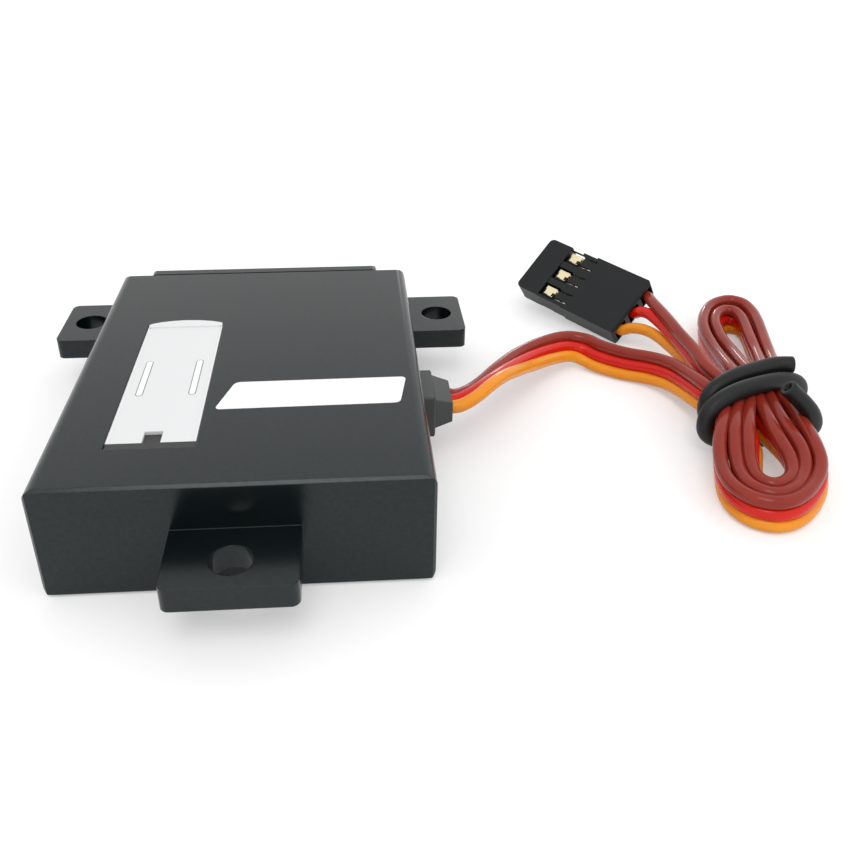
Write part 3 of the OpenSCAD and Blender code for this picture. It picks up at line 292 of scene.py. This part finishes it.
# Points of the hank are across and along it, in the order that the wire runs.
# The loops lie closer here than the solids, whose gaps keep them apart.
hankSet = {
    "place": (47.3, -0.35), "turn": 20, "leadJoin": (-3, -1.2),
    "waistLow": -5.2, "waistHigh": 3, "liftLow": 6.5, "liftHigh": 10.5,
    "squeeze": 0.3, "squeezeWidth": 3, "freeStart": 2, "freeLow": 3, "freeHigh": 4,
    "lowOuter": [(-2.69, -3.25), (-3.03, -6.18), (-3.12, -8.35), (-2.96, -10.11),
        (-2.64, -11.81), (-2, -13.44), (-1.04, -14.48), (0.06, -15.02), (1.4, -15.06), (2.76, -14.37),
        (3.96, -12.87), (4.81, -11.05), (5.28, -9.48), (5.32, -8.11), (5, -6.62), (4.46, -4.45),
        (3.78, -2.34), (3.03, -0.14), (2.19, 1.87)],
    "highOuter": [(2.34, 5.89), (2.08, 11.58), (1.64, 15.53), (1.35, 17.99), (1.05, 20.27), (0.46, 22.84),
        (-0.51, 24.69), (-1.98, 25.13), (-3.47, 23.96), (-4.36, 22.12), (-4.78, 19.91), (-4.86, 17.86),
        (-4.61, 15.71), (-4.11, 13.59), (-3.44, 11.05), (-2.75, 8.16), (-2.11, 5.34), (-1.33, 2.64)],
    "lowInner": [(-0.47, -0.01), (-0.63, -2.9), (-0.73, -6.04), (-0.68, -8.17), (-0.5, -9.88),
        (-0.08, -11.38), (0.55, -12.24), (1.43, -12.44), (2.35, -11.79), (2.93, -10.61), (2.99, -9.51),
        (2.75, -8.45), (2.32, -7.56), (1.81, -6.54), (1.25, -4.81), (0.76, -2.67), (0.25, -0.2)],
    "highInner": [(-0.34, 4.68), (-1.12, 8.38), (-1.93, 11.88), (-2.74, 14.24), (-3.27, 16.62),
        (-3.55, 18.78), (-3.29, 20.9), (-2.45, 22.12), (-1.56, 22.1), (-0.96, 21.31), (-0.49, 19.68),
        (-0.11, 17.3), (0.26, 14.88), (0.61, 12.62), (0.85, 9.67), (1.15, 4.04)],
    "lowMiddle": [(1.05, 1.48), (1.63, -1.15), (2.21, -3.33), (2.76, -4.77), (3.38, -6.26), (3.85, -7.49),
        (4.07, -8.83), (3.96, -10.12), (3.49, -11.69), (2.6, -13.13), (1.45, -13.83), (0.26, -13.66),
        (-0.69, -12.91), (-1.23, -11.7), (-1.57, -10.32), (-1.8, -8.55), (-1.88, -6.17), (-1.73, -3.24),
        (-1.51, -0.38)],
    "lean": {"lowOuter": 0.22, "highOuter": 0.2, "lowInner": 0.5, "highInner": 0.35, "lowMiddle": 0.35},
}
tieSet = {
    "diameter": 1.65, "bore": 0.75, "halfWide": 4.33, "halfHigh": 2.45, "middle": 3.25, "corner": 2.45,
    "startAt": 2.79, "pitch": 3.11, "slant": 0.76, "firstAngle": 90, "lastAngle": 630, "angleStep": 15,
    "rim": 0.12, "boreDepth": 0.9, "sides": 24, "splineSteps": 4, "floorGap": 0.02,
    "firstEnd": [(3.4, 4.25, 6), (1.75, 3.9, 5.9)],
    "lastEnd": [(2.6, -1.75, 1), (4.5, -1.8, 1.9), (5.25, -1.9, 3.1), (4.8, -2.4, 4.6), (3.9, -2.7, 5.7),
                (3, -2.85, 6.55), (2.2, -3, 7.3)],
}
plugSet = {
    "at": (30.25, 30.2), "length": 14.5, "width": 7.7, "thick": 2.6, "heading": -50, "dip": 5, "roll": 37,
    "contactPitch": 2.54, "crimpBack": 3,
}
wireLevels = {"brown": 1, "red": 0, "orange": -1}


def smooth(x):
    x = min(1, max(0, x))
    return x * x * (3 - 2 * x)


def onTable(s, t, z):
    a = math.radians(hankSet["turn"])
    x0, y0 = hankSet["place"]
    return Vector((x0 + s * math.cos(a) + t * math.sin(a), y0 - s * math.sin(a) + t * math.cos(a), z))


def lifted(t):
    # 1 under the tie, 0 where the loops lie on the table
    low = 1 - smooth((hankSet["waistLow"] - t) / hankSet["liftLow"])
    return low * (1 - smooth((t - hankSet["waistHigh"]) / hankSet["liftHigh"]))


def hankPoint(level, s, t, lean=0):
    # The bundle is pressed round under the tie, and its lower wires lean out where it lies free
    up = lifted(t)
    bottom = wireSet["tableGap"] + wireSet["pitch"]
    press = 1 - hankSet["squeeze"] * min(1, (s / hankSet["squeezeWidth"]) ** 2) * up
    z = bottom + (tieSet["middle"] - bottom) * up + level * wireSet["pitch"] * press
    freeLow = smooth((hankSet["waistLow"] + hankSet["freeStart"] - t) / hankSet["freeLow"])
    freeHigh = smooth((t - hankSet["waistHigh"]) / hankSet["freeHigh"])
    return onTable(s + (1 - level) * lean * max(freeLow, freeHigh), t, z)


def hankLoops(level):
    path = [hankPoint(level, *hankSet["leadJoin"])]
    for loop, lean in hankSet["lean"].items():
        path += [hankPoint(level, s, t, lean) for s, t in hankSet[loop]]
    return path


def leadPath(level):
    points = [Vector(p) for p in [wireSet["tip"]] + wireSet["lead"]]
    path = []
    for i, p in enumerate(points):
        before = (p - points[i - 1]).normalized() if i else None
        after = (points[i + 1] - p).normalized() if i < len(points) - 1 else None
        along = ((before or after) + (after or before)).normalized()
        left = Vector((-along.y, along.x, 0)).normalized()
        a = math.radians(wireSet["twist"][i])
        across = math.cos(a) * left + math.sin(a) * Vector((0, 0, 1))
        path.append(p + level * wireSet["pitch"] * across)
    return path


def plugTurn():
    q = plugSet
    turn = Matrix.Rotation(math.radians(q["heading"]), 4, "Z")
    turn = turn @ Matrix.Rotation(math.radians(q["dip"]), 4, "Y")
    turn = turn @ Matrix.Rotation(math.radians(q["roll"]), 4, "X")
    lift = q["length"] * math.sin(math.radians(q["dip"]))
    return Matrix.Translation((q["at"][0], q["at"][1], lift)) @ turn


def tailPath(colour):
    q = plugSet
    level = wireLevels[colour]
    v = q["width"] / 2 + level * q["contactPitch"]
    along = [q["length"] - q["crimpBack"], q["length"]]
    path = [plugTurn() @ Vector((u, v, q["thick"] / 2)) for u in along]
    return path + [Vector(p) for p in wireSet["tails"][colour]]


def wholeRoute(colour):
    level = wireLevels[colour]
    return leadPath(level) + hankLoops(level) + tailPath(colour)[::-1]


shortest = 1e-6  # mm, keeps the spline from dividing by nothing


def rounded(points, steps):
    # Centripetal spline through the points
    out = []
    for i in range(len(points) - 1):
        p1, p2 = points[i], points[i + 1]
        p0 = points[i - 1] if i else p1 * 2 - p2
        p3 = points[i + 2] if i + 2 < len(points) else p2 * 2 - p1
        d1, d2, d3 = [max((b - a).length, shortest) ** 0.5 for a, b in ((p0, p1), (p1, p2), (p2, p3))]
        m1 = (p2 - p1) + d2 * ((p1 - p0) / d1 - (p2 - p0) / (d1 + d2))
        m2 = (p2 - p1) + d2 * ((p3 - p2) / d3 - (p3 - p1) / (d2 + d3))
        for k in range(steps):
            x = k / steps
            out.append((2 * x**3 - 3 * x**2 + 1) * p1 + (x**3 - 2 * x**2 + x) * m1
                       + (3 * x**2 - 2 * x**3) * p2 + (x**3 - x**2) * m2)
    return out + [points[-1]]


def routeLength(points):
    return sum((b - a).length for a, b in zip(points, points[1:]))


def tubeRings(path, radius, sides):
    # Rings square to the path, turned along without a twist
    rings = []
    side = None
    for i, p in enumerate(path):
        ahead = path[min(i + 1, len(path) - 1)] - path[max(i - 1, 0)]
        along = ahead.normalized()
        side = along.orthogonal() if side is None else side - along * side.dot(along)
        side.normalize()
        other = along.cross(side)
        rings.append([p + radius * (math.cos(a) * side + math.sin(a) * other)
                      for a in (2 * math.pi * k / sides for k in range(sides))])
    return rings


def hollowTube(work, path, t):
    # Closed tube with a rounded rim and a blind bore at both ends
    radius, bore = t["diameter"] / 2, t["bore"] / 2
    rim = t["rim"] * radius
    rings = tubeRings(path, radius, t["sides"])
    # radius and depth of each row, from the bottom of the bore to the outside
    endRows = [(bore, t["boreDepth"]), (bore, rim), (bore + rim, 0), (radius - rim, 0), (radius, rim)]

    def tubeEnd(ring, centre, inward):
        return [[centre + (v - centre) * (r / radius) + inward * depth for v in ring]
                for r, depth in endRows]

    head = tubeEnd(rings[0], path[0], (path[1] - path[0]).normalized())
    tail = tubeEnd(rings[-1], path[-1], (path[-2] - path[-1]).normalized())
    loft(work, head + rings[1:-1] + tail[::-1], shadeSmooth=True)


def tiePath(t):
    # Two turns of an oval round the hank, with a free end at each side
    def wrap(angle):
        c, s = math.cos(math.radians(angle)), math.sin(math.radians(angle))
        side = t["halfWide"] * math.copysign(abs(c) ** (2 / t["corner"]), c)
        z = t["middle"] + t["halfHigh"] * math.copysign(abs(s) ** (2 / t["corner"]), s)
        along = t["startAt"] - t["pitch"] * (angle - t["firstAngle"]) / 360
        return onTable(side, along + t["slant"] * side, z)

    wraps = [wrap(angle) for angle in range(t["firstAngle"], t["lastAngle"] + 1, t["angleStep"])]
    return [onTable(*p) for p in t["firstEnd"]] + wraps + [onTable(*p) for p in t["lastEnd"]]


def makeTie(t):
    path = rounded(tiePath(t), t["splineSteps"])
    low = min(p.z for p in path) - t["diameter"] / 2
    path = [p + Vector((0, 0, max(0, t["floorGap"] - low))) for p in path]
    work = bmesh.new()
    hollowTube(work, path, t)
    tie = meshPiece("hankTie", work, "rubberBlack")
    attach(tie, "servo_body")
    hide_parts("cable_tie")
    print("tie wound,", round(routeLength(path)), "mm")
    return tie


hankTie = makeTie(tieSet)


# Thin plates, for trim and print

plateSet = {"shoulder": 0.6, "inset": 0.01}


def plates(name, parts, finish, place=Matrix()):
    # Flat plates with a softened upper edge, in mm: outline, bottom and top of each
    work = bmesh.new()
    for outline, bottom, top in parts:
        middle = sum(outline, Vector((0, 0))) / len(outline)
        shoulder = bottom + (top - bottom) * plateSet["shoulder"]
        rows = []
        for inset, z in ((0, bottom), (0, shoulder), (plateSet["inset"], top)):
            ring = [p + (middle - p).normalized() * inset for p in outline]
            rows.append([place @ Vector((p.x, p.y, z)) for p in ring])
        loft(work, rows)
    piece = meshPiece(name, work, finish)
    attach(piece, "servo_body")
    return piece


def roundedCorner(corners, i, radius, steps):
    p = Vector(corners[i])
    before = (Vector(corners[i - 1]) - p).normalized()
    after = (Vector(corners[(i + 1) % len(corners)]) - p).normalized()
    shares = [k / steps for k in range(steps + 1)]
    return [p + before * radius * (1 - x) ** 2 + after * radius * x ** 2 for x in shares]


def roundedOutline(corners, radius, steps):
    return [p for i in range(len(corners)) for p in roundedCorner(corners, i, radius, steps)]


# Plug: raised nose plate, closed notch, black plates of painted shade that leave part of each contact in
# sight, latch glints.
# Places are along the plug and across it, in mm; those of a contact are across from its middle.

trimSet = {
    "noseFront": 0.05, "noseEnd": 3.3, "noseTop": 2.56, "faceTop": 2.48, "step": 0.12, "sink": 0.02,
    "noseRadius": 0.7, "noseSteps": 6, "endRadius": 0.02, "endSteps": 2,
    "notch": (3.25, 5.02, 0.12, 0.4), "notchBottom": 0.12, "tabTop": 2.23, "tabBottom": 1.6,
    # black plates over part of each contact: painted shade in its window
    "shadePlates": [(3.55, 5.14, -0.68, -0.42), (4.75, 5.14, -0.5, 0.02), (3.55, 3.72, -0.6, 0.2)],
    "lips": [(4.3, 5.05, -0.52, -0.45), (5.15, 5.35, 0.3, 0.45)], "shadePlateRise": 0.04, "lipRise": 0.08,
    "latches": [(6.75, 7.2, -0.66, -0.55)], "latchBottom": 2.0, "latchDrop": 0.05,
}


def makePlugTrim(q):
    w = plugSet["width"]

    def box(u0, u1, v0, v1, middle=0):
        return [Vector((u, middle + v)) for u, v in ((u0, v0), (u1, v0), (u1, v1), (u0, v1))]

    front, end, low, high = q["noseFront"], q["noseEnd"], q["step"], w - q["step"]
    nose = [(end, low), (end, high), (front, high), (front, low)]
    roundings = [(q["endRadius"], q["endSteps"])] * 2 + [(q["noseRadius"], q["noseSteps"])] * 2
    outline = [p for i, rounding in enumerate(roundings) for p in roundedCorner(nose, i, *rounding)]
    black = [(outline, q["faceTop"] - q["sink"], q["noseTop"]),
             (box(*q["notch"]), q["notchBottom"], q["faceTop"])]
    gold, steel = [], []
    for level in wireLevels.values():
        middle = w / 2 + level * plugSet["contactPitch"]
        # black plates over part of each contact: painted shade in its window
        black += [(box(*b, middle), q["tabBottom"], q["tabTop"] + q["shadePlateRise"]) for b in q["shadePlates"]]
        gold += [(box(*b, middle), q["tabBottom"], q["tabTop"] + q["lipRise"]) for b in q["lips"]]
        steel += [(box(*b, middle), q["latchBottom"], q["faceTop"] - q["latchDrop"]) for b in q["latches"]]
    turn = plugTurn()
    print("plug trimmed")
    return [plates("plugTrim", black, "plugBlack", turn),
            plates("contactLips", gold, "gold", turn),
            plates("latchGlints", steel, "steel", turn)]


plugTrim = makePlugTrim(trimSet)


def makeWire(colour):
    route = [p * mm for p in rounded(wholeRoute(colour), wireSet["splineSteps"])]
    curve = bpy.data.curves.new(colour + "Wire", "CURVE")
    curve.dimensions = "3D"
    line = curve.splines.new("POLY")
    line.points.add(len(route) - 1)
    for point, p in zip(line.points, route):
        point.co = (*p, 1)
    line.use_smooth = True
    curve.bevel_depth = wireSet["diameter"] / 2 * mm
    curve.bevel_resolution = wireSet["bevelSteps"]
    curve.use_fill_caps = True
    wire = bpy.data.objects.new(colour + "Wire", curve)
    scene.collection.objects.link(wire)
    curve.materials.append(wireFinishes[colour])
    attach(wire, "servo_body")
    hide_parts(colour + "_lead", colour + "_hank", colour + "_tail")
    print(colour, "wire laid,", round(routeLength(route) / mm), "mm")


for wireColour in wireLevels:
    makeWire(wireColour)


# CAD nodes that keep their shape

nodeFinishes = {
    "caseBlack": ["main_case", "bottom_cover", "rear_cover"],
    "blackSteel": ["bottom_screws", "rear_screws"],
    "steel": ["motor_screws", "motor_shaft", "idler_pin", "third_gear", "output_gear", "output_shaft",
              "rear_bearing_outer", "rear_bearing_balls", "rear_bearing_inner", "front_bearing_outer",
              "front_bearing_balls", "front_bearing_inner", "motor_armature"],
    "canWhite": ["motor_can"],
    "capBlack": ["motor_end_cap", "sensor_body", "control_chip", "driver_chips"],
    "plugBlack": ["plug_housing"],
    "rubberBlack": ["cable_grommet", "cable_tie"],
    "magnetGrey": ["motor_magnets"],
    "brass": ["motor_brushes", "motor_terminals", "motor_bush", "motor_commutator", "motor_pinion",
              "first_gear", "second_gear", "sensor_wiper", "sensor_pins"],
    "copper": ["motor_windings"],
    "boardGreen": ["circuit_board"],
    "ceramic": ["board_capacitors"],
    "innerRed": ["motor_wires", "input_wires"],
    "gold": ["plug_contacts"],
}


def dress(nodeName, material):
    materials = nodes[nodeName].data.materials
    materials.clear()
    materials.append(material)


for finishName, nodeNames in nodeFinishes.items():
    for nodeName in nodeNames:
        dress(nodeName, finishes[finishName])
for wireColour in wireLevels:
    for part in ("_lead", "_hank", "_tail"):
        dress(wireColour + part, wireFinishes[wireColour])
print("finishes on", sum(len(v) for v in nodeFinishes.values()), "nodes")


# Motor can: white strips along its edges as painted highlights, an arched far end, and white filled slots
# with a fine grey line of painted shade round each

canSet = {
    "slotSide": 2.2, "slotFrom": 7.2, "slotLength": 6.0, "slotWidth": 0.5,  # mm, from the can's open end
    # rim: width of the white strips along the can's sides, painted highlights; line: width of the grey ring
    # round each slot, painted shade
    "line": 0.07, "rim": 0.16, "highlightSide": 3.42, "windowEnd": 6.86,
    "sink": 0.02, "highlightSink": 0.1, "shadeLineTop": 0.006, "fillTop": 0.012, "archLift": 0.002,
    # The far end: a low riser in the window and an arched plate on the case, across and along
    "riser": [(-3.44, 6.55), (3.44, 6.55), (3.44, 6.86), (-3.44, 6.86)],
    "arch": [(-3.46, 6.86), (3.46, 6.86), (3.46, 7.0), (3.28, 7.25), (2.4, 7.58), (1.2, 7.82), (0, 7.9),
        (-1.2, 7.82), (-2.4, 7.58), (-3.28, 7.25), (-3.46, 7.0)],
}


def slotOutline(x, y0, y1, half, steps=10):
    # Long slot with half round ends, seen from above
    out = []
    for centre, start in ((y1 - half, 0), (y0 + half, 180)):
        for k in range(steps + 1):
            a = math.radians(start + 180 * k / steps)
            out.append(Vector((x + half * math.cos(a), centre + half * math.sin(a))))
    return out


def makeCanDetails(c):
    low, high = [Vector(v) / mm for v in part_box("motor_can")]
    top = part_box("main_case")[1][2] / mm
    middle, bottom = (low.x + high.x) / 2, high.z - c["sink"]
    y0, y1, half = low.y + c["slotFrom"], low.y + c["slotFrom"] + c["slotLength"], c["slotWidth"] / 2
    shadeLines, fills, highlightStrips = [], [], []
    for side in (-1, 1):
        x = middle + side * c["slotSide"]
        # grey ring round each slot: painted shade at the slot's edge
        line = slotOutline(x, y0 - c["line"], y1 + c["line"], half + c["line"])
        shadeLines.append((line, bottom, high.z + c["shadeLineTop"]))
        fills.append((slotOutline(x, y0, y1, half), bottom, high.z + c["fillTop"]))
        # white strip along each side of the can: a painted highlight on its edge
        x0 = middle + side * c["highlightSide"] - c["rim"] / 2
        x1 = x0 + c["rim"]
        strip = [(x0, low.y), (x1, low.y), (x1, c["windowEnd"]), (x0, c["windowEnd"])]
        highlightStrips.append(([Vector(p) for p in strip], high.z - c["highlightSink"], high.z + c["fillTop"]))
    riser, arch = [[Vector((middle + x, y)) for x, y in c[part]] for part in ("riser", "arch")]
    endTop = top + c["fillTop"]
    end = [(riser, bottom, endTop), (arch, top + c["archLift"], endTop)]
    plates("canEnd", end, "canWhite")
    # painted highlights along the can's edges
    plates("canEdgeHighlights", highlightStrips, "printAndHighlightWhite")
    # painted shade round each slot
    plates("slotShadeLines", shadeLines, "slotShadeGrey")
    plates("slotFills", fills, "printAndHighlightWhite")
    print("can detailed")


makeCanDetails(canSet)


# Bare white panel printed on the case's top, its corners rounded

panelSet = {
    "corners": [(-2.36, -8.87), (12.87, -8.7), (13.62, -4.42), (-1.01, -4.51)],  # mm, seen from above
    "top": 10.0, "lift": 0.002, "thick": 0.02, "radius": 0.55, "steps": 6,
}


def makePanel(q):
    outline = roundedOutline(q["corners"], q["radius"], q["steps"])
    panel = (outline, q["top"] + q["lift"], q["top"] + q["thick"])
    plates("whitePanel", [panel], "printAndHighlightWhite")
    print("panel printed")


makePanel(panelSet)


# Cable grommet with crisp facets

grommetSet = {
    "side": 15, "middle": (-0.5, 5.05), "innerFlange": 0.7, "corner": 0.18, "cornerSteps": 3,
    # place along x from the case's side, half width, bottom and top about the middle
    "sections": [(0, 2, -1.5, 1.5), (0, 2.65, -2.25, 1.9), (1.28, 2.65, -2.25, 1.9),
        (1.4, 2.52, -2.1, 1.78), (1.4, 2.42, -1.5, 1.5), (3, 2.15, -1, 1)],
}


def makeGrommet(g):
    y, z = g["middle"]
    neck, flange = g["sections"][0][1:], g["sections"][1][1:]
    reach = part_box("cable_grommet")[0][0] / mm - g["side"]
    seat = reach + g["innerFlange"]
    rows = []
    for along, half, bottom, top in [(reach, *flange), (seat, *flange), (seat, *neck)] + g["sections"]:
        corners = [(y - half, z + bottom), (y + half, z + bottom), (y + half, z + top), (y - half, z + top)]
        ring = roundedOutline(corners, g["corner"], g["cornerSteps"])
        rows.append([Vector((g["side"] + along, p.x, p.y)) for p in ring])
    work = bmesh.new()
    loft(work, rows)
    grommet = meshPiece("cableGrommet", work, "grommetBlack")
    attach(grommet, "servo_body")
    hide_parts("cable_grommet")
    print("grommet seated")


makeGrommet(grommetSet)


# Table and light

stageSet = {
    "floorSize": 4.0, "floorDrop": 0.00005, "floorColour": (0.72, 0.72, 0.72), "floorRough": 0.8,
    "floorShine": 0.1, "floorGlow": 0.3, "worldLight": 0.95, "worldSeen": 1.0,
}
lampSet = {
    "front": dict(place=(-0.03, -0.27, 0.47), aim=(0.01, 0, 0), size=0.28, power=0.6),
    "side": dict(place=(0.45, -0.35, 0.35), aim=(0.02, 0, 0), size=0.4, power=0.3, shine=False),
    "glint": dict(place=(0.12, 0.55, 0.12), aim=(0.03, 0, 0), size=0.05, power=0.09),
}


def seenDirectly(tree):
    # 1 for rays from the camera, a mirror or glass, so the background is white without more light
    rays = tree.nodes.new("ShaderNodeLightPath")
    value = rays.outputs["Is Camera Ray"]
    for kind in ("Is Glossy Ray", "Is Transmission Ray"):
        either = addNode(tree, "ShaderNodeMath")
        either.operation = "MAXIMUM"
        tree.links.new(value, either.inputs[0])
        tree.links.new(rays.outputs[kind], either.inputs[1])
        value = either.outputs[0]
    return value


def makeStage(s):
    half = s["floorSize"] / 2
    mesh = bpy.data.meshes.new("table")
    corners = [(-half, -half, 0), (half, -half, 0), (half, half, 0), (-half, half, 0)]
    mesh.from_pydata(corners, [], [(0, 1, 2, 3)])
    table = bpy.data.objects.new("table", mesh)
    scene.collection.objects.link(table)
    table.location.z = -s["floorDrop"]
    mat, tree, shader = newFinish("tableWhite")
    shader.inputs["Base Color"].default_value = (*s["floorColour"], 1)
    shader.inputs["Roughness"].default_value = s["floorRough"]
    shader.inputs["Specular IOR Level"].default_value = s["floorShine"]
    shader.inputs["Emission Color"].default_value = (1, 1, 1, 1)
    glow = seenDirectly(tree)
    lift = addNode(tree, "ShaderNodeMapRange")
    lift.inputs["To Max"].default_value = s["floorGlow"]
    tree.links.new(glow, lift.inputs["Value"])
    tree.links.new(lift.outputs["Result"], shader.inputs["Emission Strength"])
    mesh.materials.append(mat)

    world = bpy.data.worlds.new("whiteRoom")
    scene.world = world
    world.use_nodes = True
    tree = world.node_tree
    back = tree.nodes["Background"]
    back.inputs["Color"].default_value = (1, 1, 1, 1)
    level = addNode(tree, "ShaderNodeMapRange")
    level.inputs["To Min"].default_value = s["worldLight"]
    level.inputs["To Max"].default_value = s["worldSeen"]
    tree.links.new(seenDirectly(tree), level.inputs["Value"])
    tree.links.new(level.outputs["Result"], back.inputs["Strength"])


def makeLamp(name, place, aim, size, power, shine=True):
    data = bpy.data.lights.new(name + "Lamp", "AREA")
    data.shape = "DISK"
    data.size = size
    data.energy = power
    lamp = bpy.data.objects.new(name + "Lamp", data)
    scene.collection.objects.link(lamp)
    lamp.visible_camera = False
    lamp.visible_glossy = shine
    lamp.location = place
    lamp.rotation_mode = "QUATERNION"
    lamp.rotation_quaternion = (Vector(aim) - Vector(place)).to_track_quat("-Z", "Y")


makeStage(stageSet)
for lampName, lampValues in lampSet.items():
    makeLamp(lampName, **lampValues)
print("table and lamps set")
